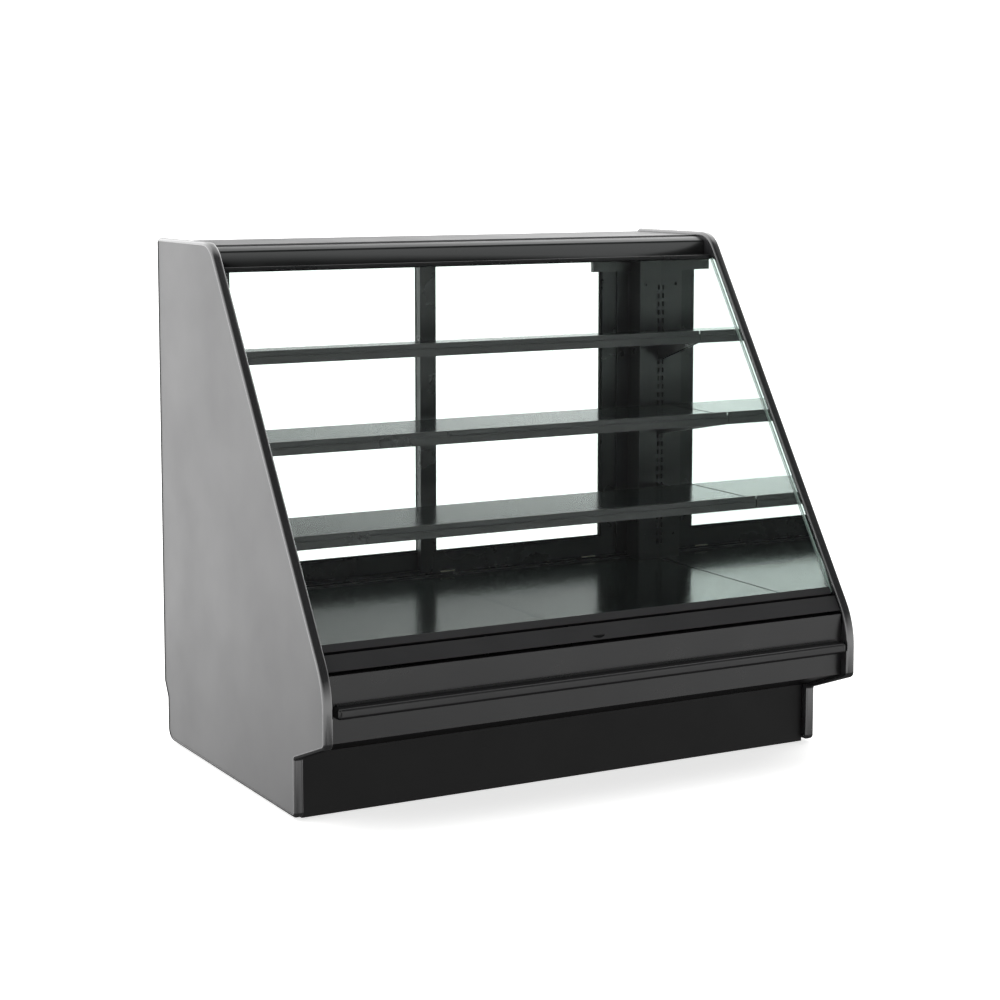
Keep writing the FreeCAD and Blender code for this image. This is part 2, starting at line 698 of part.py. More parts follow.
def light_housing():
    """Aluminium body of the canopy light."""
    outer = box(-LIGHT_X, LIGHT_X, LIGHT_Y - LIGHT_HALF, LIGHT_Y + LIGHT_HALF,
                LIGHT_SPLIT_Z, LIGHT_TOP_Z)
    inner = box(-LIGHT_X + 3, LIGHT_X - 3, LIGHT_Y - LIGHT_HALF + 3, LIGHT_Y + LIGHT_HALF - 3,
                LIGHT_SPLIT_Z - 1, LIGHT_TOP_Z - 3)
    return outer.cut(inner)


def light_lens():
    """Rounded diffuser under the light."""
    block = box(-LIGHT_X, LIGHT_X, LIGHT_Y - LIGHT_HALF, LIGHT_Y + LIGHT_HALF,
                LENS_BOTTOM_Z, LIGHT_SPLIT_Z)
    edges = [e for e in block.Edges
             if abs(e.CenterOfMass.z - LENS_BOTTOM_Z) < 1e-6 and abs(e.CenterOfMass.x) < 1e-6]
    return block.makeFillet(LIGHT_HALF - 4, edges)


def light_clips():
    """Straps that hold the light up under the roof."""
    clips = []
    for x in HINGE_XS:
        outer = box(x - CLIP_WIDTH / 2, x + CLIP_WIDTH / 2, LIGHT_Y - LIGHT_HALF - 3,
                    LIGHT_Y + LIGHT_HALF + 3, CLIP_BOTTOM_Z, LIGHT_TOP_Z)
        inner = box(x - CLIP_WIDTH, x + CLIP_WIDTH, LIGHT_Y - LIGHT_HALF,
                    LIGHT_Y + LIGHT_HALF, LENS_BOTTOM_Z, LIGHT_TOP_Z + 1)
        clips.append(outer.cut(inner))
    return Part.makeCompound(clips)


def front_glass():
    """Slanted front pane."""
    half = GLASS_THICKNESS / 2
    return slant_block(GLASS_TOP, GLASS_END, -half, half, -GLASS_X, GLASS_X)


def glass_top_rail():
    """Hinge barrel and clamp along the top edge of the glass, cut out for the fixed knuckles."""
    half = GLASS_THICKNESS / 2
    barrel = cylinder_x(HINGE_Y, HINGE_Z, KNUCKLE_R, -GLASS_X, GLASS_X)
    clamp = slant_block(TOP_RAIL[0], TOP_RAIL[1], -TOP_RAIL_HALF, TOP_RAIL_HALF,
                        -GLASS_X, GLASS_X)
    rail = barrel.fuse(clamp).removeSplitter()
    rail = rail.cut(slant_block(GLASS_TOP, TOP_RAIL[1] + 1, -half, half,
                                -GLASS_X - 1, GLASS_X + 1))
    reach = KNUCKLE_HALF + KNUCKLE_GAP
    for x in HINGE_XS:
        rail = rail.cut(cylinder_x(HINGE_Y, HINGE_Z, KNUCKLE_R + KNUCKLE_GAP,
                                   x - reach, x + reach))
        rail = rail.cut(cylinder_x(HINGE_Y, HINGE_Z, PIN_R, x - KNUCKLE_END, x + KNUCKLE_END))
    return rail


def glass_bottom_rail():
    """Channel on the bottom edge of the glass."""
    half = GLASS_THICKNESS / 2
    rail = slant_block(BOTTOM_RAIL[0], BOTTOM_RAIL[1], -RAIL_HALF, RAIL_HALF, -GLASS_X, GLASS_X)
    return rail.cut(slant_block(BOTTOM_RAIL[0] - 1, GLASS_END, -half, half,
                                -GLASS_X - 1, GLASS_X + 1))


def glass_hinge_leaf():
    """Fixed hinge leaf under the canopy, with three knuckles reaching forward."""
    leaf_z = CANOPY_BOTTOM_Z - LEAF_THICKNESS
    leaf = box(-GLASS_X, GLASS_X, LEAF_Y[0], LEAF_Y[1], leaf_z, CANOPY_BOTTOM_Z)
    knuckles = []
    bores = []
    for x in HINGE_XS:
        x0 = x - KNUCKLE_HALF
        x1 = x + KNUCKLE_HALF
        knuckles.append(cylinder_x(HINGE_Y, HINGE_Z, KNUCKLE_R, x0, x1))
        knuckles.append(box(x0, x1, HINGE_Y, LEAF_Y[0] + 1, leaf_z, CANOPY_BOTTOM_Z))
        bores.append(cylinder_x(HINGE_Y, HINGE_Z, PIN_R + PIN_CLEARANCE, x0 - 1, x1 + 1))
    return leaf.fuse(knuckles).removeSplitter().cut(Part.makeCompound(bores))


def glass_hinge_pins():
    """Pins pressed into the glass rail's knuckles."""
    pins = [cylinder_x(HINGE_Y, HINGE_Z, PIN_R, x - KNUCKLE_END, x + KNUCKLE_END)
            for x in HINGE_XS]
    return Part.makeCompound(pins)


def shelf(name):
    """Folded shelf pan."""
    z, front, rear = SHELVES[name]
    y0 = front + RAIL_THICKNESS
    outer = box(-SHELF_X, SHELF_X, y0, rear, z - SHELF_SKIRT, z)
    inner = box(-SHELF_X + SHEET, SHELF_X - SHEET, y0 + SHEET, rear - SHEET,
                z - SHELF_SKIRT - 1, z - SHEET)
    return outer.cut(inner)


def price_rail(name):
    """Label rail clipped to the shelf's front edge, its upstand stopping short of the mirrors."""
    z, front, _ = SHELVES[name]
    low = z - RAIL_BELOW
    high = z + RAIL_ABOVE
    rail = box(-BAY_X, BAY_X, front, front + RAIL_THICKNESS, low, z)
    upstand = box(-SHELF_X, SHELF_X, front, front + RAIL_THICKNESS, z, high)
    groove_z = low + RAIL_GROOVE_AT * (high - low)
    groove = box(-BAY_X - 1, BAY_X + 1, front - 1, front + RAIL_GROOVE,
                 groove_z - RAIL_GROOVE / 2, groove_z + RAIL_GROOVE / 2)
    return rail.fuse(upstand).removeSplitter().cut(groove)


def shelf_brackets(name):
    """Tapered bracket plates hooked into the posts' slots."""
    z, front, _ = SHELVES[name]
    top = z - SHELF_SKIRT - REST_GAP
    low = top - BRACKET_HEIGHT
    tip_y = front + BRACKET_SETBACK
    x0 = SLOT_X - BRACKET_THICKNESS / 2
    x1 = SLOT_X + BRACKET_THICKNESS / 2
    plate = prism([
        (POST_FRONT_Y, top),
        (POST_FRONT_Y, low),
        (tip_y, top - BRACKET_TIP),
        (tip_y, top),
    ], x0, x1)
    hooks = []
    for i in range(SLOT_COUNT):
        slot_z = TOP_SLOT_Z - i * SLOT_PITCH
        if low + HOOK_HEIGHT < slot_z < top - HOOK_HEIGHT:
            neck_y = POST_FRONT_Y + HOOK_NECK
            half = HOOK_HEIGHT / 2
            hooks.append(box(x0, x1, POST_FRONT_Y, neck_y, slot_z - half, slot_z + half))
            hooks.append(box(x0, x1, neck_y, POST_FRONT_Y + HOOK_REACH,
                             slot_z - half - HOOK_DROP, slot_z + half))
    return both_ends(plate.fuse(hooks).removeSplitter())


def rear_panel():
    """Rear cover of the lower cabinet with two groups of vent slots."""
    low = BASE_BEAM_H + SHEET
    high = DECK_Z - DECK_FLANGE - 22
    panel = box(-BAY_X, BAY_X, REAR_PANEL_Y, REAR_PANEL_Y + SHEET, 0, high)
    slots = []
    for x in (-480.0, -300.0, 120.0, 300.0):
        for row in range(VENT_ROWS):
            z = low + 60 + row * VENT_PITCH
            slots.append(box(x, x + VENT_LENGTH, REAR_PANEL_Y - 1, REAR_PANEL_Y + SHEET + 1,
                             z, z + VENT_HEIGHT))
    hole = box(SERVICE_X[0] + 6, SERVICE_X[1] - 6, REAR_PANEL_Y - 1, REAR_PANEL_Y + SHEET + 1,
               SERVICE_Z[0] + 6, SERVICE_Z[1] - 6)
    return panel.cut(Part.makeCompound(slots)).cut(hole)


def service_plate():
    """Plate that carries the power inlet and the light switch."""
    y0 = REAR_PANEL_Y + SHEET
    plate = box(SERVICE_X[0], SERVICE_X[1], y0, y0 + SHEET, SERVICE_Z[0], SERVICE_Z[1])
    width, height, _ = INLET_RECESS
    wall = 2.0
    inlet = box(INLET_X - width / 2 - wall, INLET_X + width / 2 + wall, y0 - 1, y0 + SHEET + 1,
                SERVICE_MID_Z - height / 2 - wall, SERVICE_MID_Z + height / 2 + wall)
    sw, sh = SWITCH_SIZE
    switch = box(SWITCH_X - sw / 2 - 1, SWITCH_X + sw / 2 + 1, y0 - 1, y0 + SHEET + 1,
                 SERVICE_MID_Z - sh / 2 - 1, SERVICE_MID_Z + sh / 2 + 1)
    return plate.cut(inlet).cut(switch)


def power_inlet():
    """Recessed power inlet with three contact blades."""
    width, height, depth = INLET_RECESS
    wall = 2.0
    face = REAR_PANEL_Y + 2 * SHEET
    body = box(INLET_X - width / 2 - wall, INLET_X + width / 2 + wall, face - depth - wall, face,
               SERVICE_MID_Z - height / 2 - wall, SERVICE_MID_Z + height / 2 + wall)
    flange = box(INLET_X - INLET_SIZE[0] / 2, INLET_X + INLET_SIZE[0] / 2, face, face + 2.5,
                 SERVICE_MID_Z - INLET_SIZE[1] / 2, SERVICE_MID_Z + INLET_SIZE[1] / 2)
    recess = box(INLET_X - width / 2, INLET_X + width / 2, face - depth, face + 3,
                 SERVICE_MID_Z - height / 2, SERVICE_MID_Z + height / 2)
    shell = body.fuse(flange).removeSplitter().cut(recess)
    blades = []
    for dx, dz in ((-7, -3), (0, 3), (7, -3)):
        blades.append(box(INLET_X + dx - 1, INLET_X + dx + 1, face - depth, face - BLADE_SHORT,
                          SERVICE_MID_Z + dz - 2, SERVICE_MID_Z + dz + 2))
    return shell.fuse(blades).removeSplitter()


def switch_rocker():
    """Rocker of the light switch, pivoting about a level axis in its plate."""
    width, height = SWITCH_SIZE
    face = REAR_PANEL_Y + 2 * SHEET
    pivot_y = face - 2.0
    half = height / 2
    crown = 5.0
    outline = [
        (pivot_y - 4, SERVICE_MID_Z - 4),
        (pivot_y, SERVICE_MID_Z - half),
        (pivot_y + crown, SERVICE_MID_Z - half + 1),
        (pivot_y + crown - 2.2, SERVICE_MID_Z),
        (pivot_y + crown, SERVICE_MID_Z + half - 1),
        (pivot_y, SERVICE_MID_Z + half),
        (pivot_y - 4, SERVICE_MID_Z + 4),
    ]
    return prism(outline, SWITCH_X - width / 2 + 0.4, SWITCH_X + width / 2 - 0.4)


def build_structure():
    save("base_beams", base_beams())
    save("deck_beams", deck_beams())
    save("cabinet_floor", cabinet_floor())
    save("kick_plate", kick_plate())
    save("front_fascia", front_fascia())
    save("lower_front_panel", lower_front_panel())
    save("deck_front_lip", deck_front_lip())
    save("rear_panel", rear_panel())
    save("rear_sill", rear_sill())
    save_pair("end_panel", end_panel())
    save_pair("end_trim", end_trim())
    save_pair("end_mirror", end_mirror())
    save_pair("corner_post", corner_post())
    save_pair("door_jamb", door_jamb())
    save("header_cover", header_cover())
    save("post_screws", post_screws())


def build_front():
    save("bumper_channel", bumper_channel())
    save("bumper_rail", bumper_rail())
    save("bumper_end_caps", bumper_end_caps())
    save("front_glass", front_glass())
    save("glass_top_rail", glass_top_rail())
    save("glass_bottom_rail", glass_bottom_rail())
    save("glass_hinge_leaf", glass_hinge_leaf())
    save("glass_hinge_pins", glass_hinge_pins())


def build_inside():
    save("deck_pan_right", deck_pan(1))
    save("deck_pan_left", deck_pan(-1))
    for name in SHELVES:
        save("shelf_" + name, shelf(name))
        save("price_rail_" + name, price_rail(name))
        save("shelf_brackets_" + name, shelf_brackets(name))


def build_doors():
    save("door_bottom_track", door_bottom_track())
    save("door_top_track", door_top_track())
    for side in DOOR_FRONT_Y:
        stem = "door_" + side + "_"
        save(stem + "frame", door_frame(side))
        save(stem + "glass", door_glass(side))
        save(stem + "pull", door_pull(side))
        save(stem + "glides", door_glides(side))


def build_top():
    save("canopy_nose", canopy_nose())
    save("canopy_roof", canopy_roof())
    save("light_housing", light_housing())
    save("light_lens", light_lens())
    save("light_clips", light_clips())


def build_electrics():
    save("service_plate", service_plate())
    save("power_inlet", power_inlet())
    save("switch_rocker", switch_rocker())


os.makedirs("parts", exist_ok=True)
build_structure()
build_front()
build_inside()
build_doors()
build_top()
build_electrics()
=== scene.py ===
import logging
import math
from dataclasses import dataclass, field
from enum import Enum
from typing import Iterable, Optional

import bpy
from mathutils import Matrix, Vector


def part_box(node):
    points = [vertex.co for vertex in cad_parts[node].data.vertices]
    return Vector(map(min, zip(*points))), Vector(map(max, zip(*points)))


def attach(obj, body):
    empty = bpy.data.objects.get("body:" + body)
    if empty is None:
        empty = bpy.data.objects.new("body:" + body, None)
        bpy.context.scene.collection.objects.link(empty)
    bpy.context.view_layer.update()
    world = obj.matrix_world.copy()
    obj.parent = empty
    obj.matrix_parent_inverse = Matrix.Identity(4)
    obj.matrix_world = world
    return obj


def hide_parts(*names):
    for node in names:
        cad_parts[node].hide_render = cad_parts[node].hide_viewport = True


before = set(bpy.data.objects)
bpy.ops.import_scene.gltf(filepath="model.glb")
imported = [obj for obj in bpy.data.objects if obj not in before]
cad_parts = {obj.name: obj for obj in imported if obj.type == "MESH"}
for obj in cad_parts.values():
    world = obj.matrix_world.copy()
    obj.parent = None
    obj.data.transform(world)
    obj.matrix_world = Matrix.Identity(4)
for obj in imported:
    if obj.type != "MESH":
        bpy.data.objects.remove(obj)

LOG = logging.getLogger("bakery_case")
MM = 0.001
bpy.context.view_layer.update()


def linear(hex_colour: str) -> tuple[float, float, float, float]:
    """Turn an sRGB hex colour into linear RGBA.

    Args:
        hex_colour: colour such as "#1c1c1d".

    Returns:
        Linear red, green, blue and an alpha of 1.
    """
    parts = [int(hex_colour[i:i + 2], 16) / 255 for i in (1, 3, 5)]
    line = [c / 12.92 if c <= 0.04045 else ((c + 0.055) / 1.055) ** 2.4 for c in parts]
    return (line[0], line[1], line[2], 1.0)


def add_node(tree: bpy.types.NodeTree, kind: str, settings: Optional[dict] = None,
             links: Optional[dict] = None) -> bpy.types.Node:
    """Add one node to a tree.

    Args:
        tree: node tree that gets the node.
        kind: Blender's name of the node type.
        settings: attribute or input name, or input number, to value.
        links: input name or number to the output socket that feeds it.

    Returns:
        The new node.
    """
    node = tree.nodes.new(kind)
    for key, value in (settings or {}).items():
        if isinstance(key, str) and hasattr(node, key) and key not in node.inputs:
            setattr(node, key, value)
        else:
            node.inputs[key].default_value = value
    for key, socket in (links or {}).items():
        tree.links.new(socket, node.inputs[key])
    return node


def blank_material(name: str) -> tuple[bpy.types.Material, bpy.types.NodeTree]:
    """Make an empty node material.

    Args:
        name: the finish's name.

    Returns:
        The material and its node tree.
    """
    material = bpy.data.materials.new(name)
    material.use_nodes = True
    material.node_tree.nodes.clear()
    return material, material.node_tree


def per_mm(size_mm: float) -> float:
    """Noise scale on Object coordinates for a feature of this many millimetres."""
    return 1000.0 / size_mm


def finish_output(tree: bpy.types.NodeTree, shader: bpy.types.NodeSocket) -> None:
    """Connect a shader to the material's surface."""
    add_node(tree, "ShaderNodeOutputMaterial", links={"Surface": shader})


@dataclass(frozen=True)
class Coating:
    """A coated or moulded surface: fine grain in the bump, slow drift in colour and gloss.

    The eye gets a soft, slightly broken highlight with brighter folded or moulded edges.
    """

    name: str
    base: str
    drift: str
    roughness: tuple[float, float]
    grain_mm: float
    grain_depth_mm: float
    drift_mm: float = 160.0
    edge_mm: float = 0.8
    metallic: float = 0.0
    specular: float = 0.5
    coat: float = 0.0
    stretch: tuple[float, float, float] = (1.0, 1.0, 1.0)

    def build(self) -> bpy.types.Material:
        """Build the node material.

        Returns:
            The finished material.
        """
        material, tree = blank_material(self.name)
        place = add_node(tree, "ShaderNodeTexCoord").outputs["Object"]
        turned = add_node(tree, "ShaderNodeMapping", {"Scale": self.stretch}, {"Vector": place})
        slow = add_node(tree, "ShaderNodeTexNoise",
                        {"Scale": per_mm(self.drift_mm), "Detail": 5.0, "Roughness": 0.55},
                        {"Vector": place})
        grain = add_node(tree, "ShaderNodeTexNoise",
                         {"Scale": per_mm(self.grain_mm), "Detail": 2.0},
                         {"Vector": turned.outputs["Vector"]})
        colour = add_node(tree, "ShaderNodeMix",
                          {"data_type": "RGBA", 6: linear(self.base), 7: linear(self.drift)},
                          {0: slow.outputs["Fac"]})
        gloss = add_node(tree, "ShaderNodeMapRange",
                         {"From Min": 0.3, "From Max": 0.7, "To Min": self.roughness[0],
                          "To Max": self.roughness[1]}, {"Value": slow.outputs["Fac"]})
        edge = add_node(tree, "ShaderNodeBevel", {"samples": 4, "Radius": self.edge_mm * MM})
        bump = add_node(tree, "ShaderNodeBump",
                        {"Strength": 0.5, "Distance": self.grain_depth_mm * MM},
                        {"Height": grain.outputs["Fac"], "Normal": edge.outputs["Normal"]})
        shader = add_node(tree, "ShaderNodeBsdfPrincipled",
                          {"Metallic": self.metallic, "Specular IOR Level": self.specular,
                           "Coat Weight": self.coat, "Coat Roughness": 0.12},
                          {"Base Color": colour.outputs[2], "Roughness": gloss.outputs["Result"],
                           "Normal": bump.outputs["Normal"]})
        finish_output(tree, shader.outputs["BSDF"])
        return material


@dataclass(frozen=True)
class FloatGlass:
    """Clear float glass: faint green body colour, full gloss, light passes to what is behind."""

    name: str
    tint: str
    smear: float = 0.012

    def build(self) -> bpy.types.Material:
        """Build the node material.

        Returns:
            The finished material.
        """
        material, tree = blank_material(self.name)
        place = add_node(tree, "ShaderNodeTexCoord").outputs["Object"]
        wipe = add_node(tree, "ShaderNodeTexNoise", {"Scale": per_mm(220.0), "Detail": 3.0},
                        {"Vector": place})
        gloss = add_node(tree, "ShaderNodeMapRange",
                         {"From Min": 0.45, "From Max": 0.75, "To Min": 0.0, "To Max": self.smear},
                         {"Value": wipe.outputs["Fac"]})
        glass = add_node(tree, "ShaderNodeBsdfPrincipled",
                         {"Base Color": linear(self.tint), "Transmission Weight": 1.0, "IOR": 1.5},
                         {"Roughness": gloss.outputs["Result"]})
        clear = add_node(tree, "ShaderNodeBsdfTransparent", {"Color": linear(self.tint)})
        path = add_node(tree, "ShaderNodeLightPath")
        both = add_node(tree, "ShaderNodeMixShader",
                        links={0: path.outputs["Is Shadow Ray"], 1: glass.outputs["BSDF"],
                               2: clear.outputs["BSDF"]})
        finish_output(tree, both.outputs["Shader"])
        return material


@dataclass(frozen=True)
class SilveredMirror:
    """Silvered mirror: a sharp, slightly green image with faint wiping marks."""

    name: str
    tint: str

    def build(self) -> bpy.types.Material:
        """Build the node material.

        Returns:
            The finished material.
        """
        material, tree = blank_material(self.name)
        place = add_node(tree, "ShaderNodeTexCoord").outputs["Object"]
        wipe = add_node(tree, "ShaderNodeTexNoise", {"Scale": per_mm(130.0), "Detail": 4.0},
                        {"Vector": place})
        gloss = add_node(tree, "ShaderNodeMapRange",
                         {"From Min": 0.4, "From Max": 0.8, "To Min": 0.005, "To Max": 0.03},
                         {"Value": wipe.outputs["Fac"]})
        shader = add_node(tree, "ShaderNodeBsdfPrincipled",
                          {"Base Color": linear(self.tint), "Metallic": 1.0},
                          {"Roughness": gloss.outputs["Result"]})
        finish_output(tree, shader.outputs["BSDF"])
        return material


@dataclass(frozen=True)
class OpalAcrylic:
    """Opal acrylic diffuser: milky white with shallow ribs along its length.

    The wave texture turns wave_radians for each unit of scaled length, so a rib repeats
    every 2 pi times rib_radian_mm, about 19 mm.
    """

    name: str
    base: str
    cloud: str = "#dfe6e3"
    rib_radian_mm: float = 3.0
    wave_radians: float = 20.0

    def build(self) -> bpy.types.Material:
        """Build the node material.

        Returns:
            The finished material.
        """
        material, tree = blank_material(self.name)
        place = add_node(tree, "ShaderNodeTexCoord").outputs["Object"]
        ribs = add_node(tree, "ShaderNodeTexWave",
                        {"bands_direction": "Y",
                         "Scale": per_mm(self.rib_radian_mm) / self.wave_radians},
                        {"Vector": place})
        cloud = add_node(tree, "ShaderNodeTexNoise", {"Scale": per_mm(90.0)}, {"Vector": place})
        colour = add_node(tree, "ShaderNodeMix",
                          {"data_type": "RGBA", 6: linear(self.base), 7: linear(self.cloud)},
                          {0: cloud.outputs["Fac"]})
        bump = add_node(tree, "ShaderNodeBump", {"Strength": 0.3, "Distance": 0.3 * MM},
                        {"Height": ribs.outputs["Fac"]})
        shader = add_node(tree, "ShaderNodeBsdfPrincipled",
                          {"Roughness": 0.35, "Transmission Weight": 0.15},
                          {"Base Color": colour.outputs[2], "Normal": bump.outputs["Normal"]})
        finish_output(tree, shader.outputs["BSDF"])
        return material


class Finishes(Enum):
    """Every finish on the case."""

    # High-pressure laminate pressed against a fine matt plate: soft wide highlight.
    LAMINATE = Coating("laminate_black", "#232324", "#2a2a2c", (0.30, 0.38), 1.6, 0.05,
                       drift_mm=260.0, specular=0.8)
    # Extruded PVC bullnose: smooth skin with faint draw lines, a crisp line of light.
    TRIM = Coating("pvc_trim_black", "#29292a", "#303031", (0.18, 0.24), 2.5, 0.03,
                   edge_mm=0.4, specular=1.0, coat=0.8)
    # Satin powder coat on folded steel: fine orange peel.
    STEEL = Coating("powder_coat_satin_black", "#181818", "#1f1f20", (0.26, 0.34), 1.8, 0.05)
    # Smoother baked enamel of shelves and deck: a clear but blurred reflection.
    TRAY = Coating("baked_enamel_black", "#0b100f", "#0f1413", (0.15, 0.17), 2.4, 0.005,
                   edge_mm=0.6, specular=0.18)
    # Matt coat of the slanted panel and the pane's bottom rail: an even dark grey.
    PANEL = Coating("powder_coat_matt_black", "#29292a", "#2f2f30", (0.46, 0.54), 1.4, 0.05,
                    specular=0.35)
    # Toe kick: dull black coat, its colour painted darker than the fascia's as a painted shade for
    # the shadow beside the floor.
    KICK = Coating("powder_coat_dull_black_painted_shade", "#0b0b0b", "#101010", (0.42, 0.52), 1.4, 0.05,
                   specular=0.2)
    # Matt primer under the base.
    BASE = Coating("primer_black", "#131313", "#1b1b1b", (0.5, 0.65), 1.2, 0.08)
    # Soft vinyl bumper with a leather-like grain.
    VINYL = Coating("vinyl_black", "#161617", "#1c1c1d", (0.30, 0.40), 1.4, 0.06, edge_mm=0.5)
    # Black anodised extrusion, drawn along X.
    ANODISED = Coating("anodised_black", "#1b1c1c", "#222324", (0.24, 0.34), 1.0, 0.02,
                       metallic=0.35, edge_mm=0.4, stretch=(0.03, 1.0, 1.0))
    # Canopy front: the same anodising, buffed to long bright and dark bands.
    CANOPY = Coating("anodised_buffed_black", "#363737", "#3e3f3f", (0.27, 0.33), 1.0, 0.01,
                     metallic=0.8, coat=0.1, edge_mm=0.4, stretch=(0.03, 1.0, 1.0))
    # Roof sheet: brushed satin coat that scatters the light from above.
    ROOF = Coating("brushed_roof_black", "#2a2a2b", "#323234", (0.30, 0.38), 1.2, 0.04,
                   specular=0.7, stretch=(0.05, 1.0, 1.0))
    # Black oxide on hinge steel and screws: dull, with rubbed lighter edges.
    BLACKENED = Coating("black_oxide_steel", "#101011", "#191a1a", (0.32, 0.44), 0.9, 0.03,
                        metallic=0.5, drift_mm=12.0, edge_mm=0.3)
    # Clear anodised body of the light.
    ALUMINIUM = Coating("anodised_silver", "#a8abad", "#b6b9bb", (0.28, 0.38), 1.0, 0.02,
                        metallic=1.0, stretch=(0.03, 1.0, 1.0), edge_mm=0.4)
    # Moulded ABS with a spark-eroded texture.
    ABS = Coating("abs_black", "#141414", "#1a1a1a", (0.42, 0.52), 0.9, 0.06, edge_mm=0.5)
    # Cast nylon, waxy off-white.
    NYLON = Coating("nylon_natural", "#d6d1c2", "#e2decf", (0.4, 0.5), 1.5, 0.03)
    # Zinc-plated steel.
    ZINC = Coating("zinc_plate", "#9a9c9e", "#b4b6b8", (0.22, 0.34), 1.0, 0.02, metallic=1.0,
                   drift_mm=9.0, edge_mm=0.3)
    # Extruded EPDM glazing gasket.
    GASKET = Coating("epdm_black", "#101010", "#171717", (0.55, 0.7), 0.8, 0.05, edge_mm=0.4)
    # Ground and polished pane edge, painted an opaque near-white sea green: a painted highlight for
    # the light that the glass edge catches.
    PANE_EDGE = Coating("polished_glass_edge_painted_highlight", "#dff1ea", "#eef7f3", (0.08, 0.16), 2.0, 0.01,
                        edge_mm=0.3, coat=0.6)
    GLASS = FloatGlass("float_glass", "#f6fbf9")
    MIRROR = SilveredMirror("silvered_mirror", "#e6eeeb")
    OPAL = OpalAcrylic("opal_acrylic", "#f0f2f0")


class Paint:
    """Keeps one built material for each finish, so that pieces share it."""

    def __init__(self) -> None:
        """Start with nothing built."""
        self.built: dict[Finishes, bpy.types.Material] = {}

    def of(self, finish: Finishes) -> bpy.types.Material:
        """Material of a finish, built on first use.

        Args:
            finish: the finish asked for.

        Returns:
            Its material.
        """
        if finish not in self.built:
            self.built[finish] = finish.value.build()
        return self.built[finish]

    def dress(self, obj: bpy.types.Object, finish: Finishes) -> None:
        """Give an object one finish all over.

        Args:
            obj: mesh object.
            finish: the finish of all its slots.
        """
        if not obj.data.materials:
            obj.data.materials.append(self.of(finish))
        for i in range(len(obj.material_slots)):
            obj.material_slots[i].material = self.of(finish)


PAINT = Paint()


def deselect() -> None:
    """Leave nothing selected, so that the next operator acts on one piece only."""
    bpy.ops.object.select_all(action="DESELECT")


def settle(obj: bpy.types.Object) -> bpy.types.Object:
    """Apply an object's place to its mesh, so that it sits at the origin.

    Args:
        obj: the object.

    Returns:
        The same object.
    """
    deselect()
    obj.select_set(True)
    bpy.context.view_layer.objects.active = obj
    bpy.ops.object.transform_apply(location=True, rotation=True, scale=True)
    return obj


def apply_modifier(obj: bpy.types.Object, kind: str, **settings: object) -> None:
    """Add a modifier with these settings and apply it.

    Args:
        obj: the object.
        kind: Blender's name of the modifier type.
        **settings: attribute of the modifier to value.
    """
    deselect()
    obj.select_set(True)
    bpy.context.view_layer.objects.active = obj
    modifier = obj.modifiers.new(kind.lower(), kind)
    for key, value in settings.items():
        setattr(modifier, key, value)
    bpy.ops.object.modifier_apply(modifier=modifier.name)


def block(name: str, low: Vector, high: Vector, bevel: float = 0.0) -> bpy.types.Object:
    """Block between two corners, with its edges broken.

    Args:
        name: the object's name.
        low: lowest corner, metres.
        high: highest corner, metres.
        bevel: edge radius, metres.

    Returns:
        The new object, settled.
    """
    deselect()
    bpy.ops.mesh.primitive_cube_add(size=1.0, location=(low + high) / 2)
    obj = bpy.context.active_object
    obj.name = name
    obj.scale = high - low
    settle(obj)
    if bevel:
        apply_modifier(obj, "BEVEL", width=bevel, segments=2, limit_method="ANGLE")
    return obj


def smooth(obj: bpy.types.Object, degrees: float = 35.0) -> None:
    """Shade an object smooth, apart from its sharp edges.

    Args:
        obj: the object.
        degrees: edges sharper than this stay sharp.
    """
    deselect()
    obj.select_set(True)
    bpy.context.view_layer.objects.active = obj
    bpy.ops.object.shade_smooth_by_angle(angle=math.radians(degrees))


def join(name: str, parts: list[bpy.types.Object]) -> bpy.types.Object:
    """Join objects into one piece.

    Args:
        name: the piece's name.
        parts: what it is made of.

    Returns:
        The piece.
    """
    deselect()
    for part in parts:
        part.select_set(True)
    bpy.context.view_layer.objects.active = parts[0]
    bpy.ops.object.join()
    piece = bpy.context.active_object
    piece.name = name
    return piece


def copy_at(pattern: bpy.types.Object, shift: Vector) -> bpy.types.Object:
    """Copy a settled object, with its own mesh.

    Args:
        pattern: the object to copy.
        shift: how far the copy is moved.

    Returns:
        The copy.
    """
    twin = pattern.copy()
    twin.data = pattern.data.copy()
    twin.data.transform(Matrix.Translation(shift))
    bpy.context.collection.objects.link(twin)
    return twin


def deliver(piece: bpy.types.Object, body: str, finish: Finishes,
            stands_for: Iterable[str] = ()) -> None:
    """Dress a finished piece, put it on its body and log it.

    Args:
        piece: the object.
        body: CAD body it rides on.
        finish: its finish.
        stands_for: CAD nodes that it replaces.
    """
    PAINT.dress(piece, finish)
    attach(piece, body)
    if stands_for:
        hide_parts(*stands_for)
    LOG.info("%s on %s, %d faces", piece.name, body, len(piece.data.polygons))


